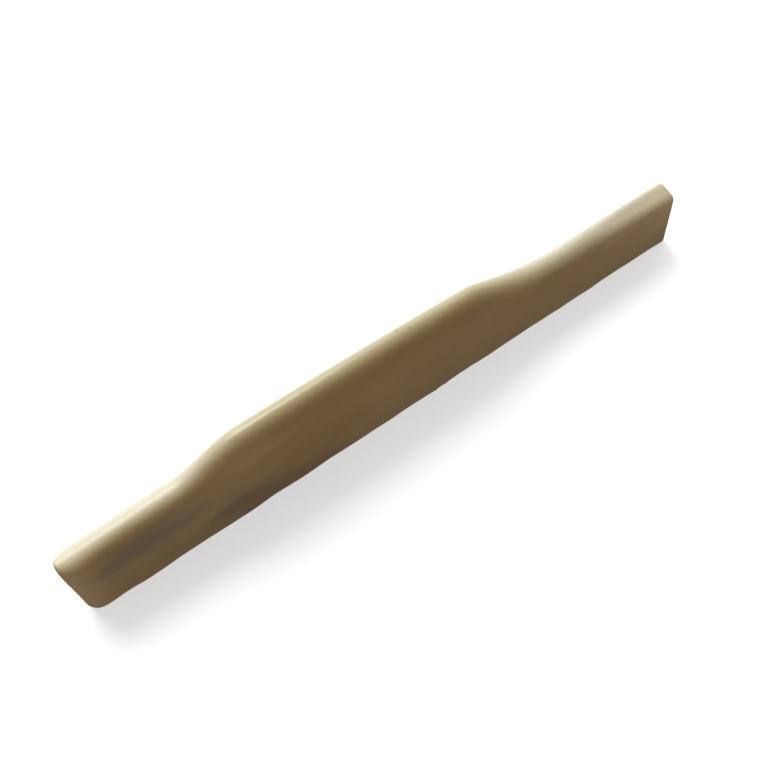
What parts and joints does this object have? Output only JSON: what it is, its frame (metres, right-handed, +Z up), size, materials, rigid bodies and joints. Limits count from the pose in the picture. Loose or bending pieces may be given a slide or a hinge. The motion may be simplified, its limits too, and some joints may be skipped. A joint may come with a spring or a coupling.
{
  "type": "bone folder",
  "caption": "Flat polished bone folder with a long straight edge, a raised belly on the opposite edge, a bull-nosed end and a crisp leaning end.",
  "frame": {"origin": "middle of the box at its bottom, on the surface that the straight edge stands on", "axes": "+X along the straight edge towards the crisp leaning end, +Y across the thickness, +Z up from the straight edge to the belly"},
  "size_m": [0.1499, 0.0054, 0.0218],
  "materials": {
    "polished_bone": "hand-polished natural bone, warm tan with faint long grain, small pores and two brown smudges, satin sheen"
  },
  "bodies": {
    "root": {"folder_blade": "polished_bone"}
  },
  "joints": []
}
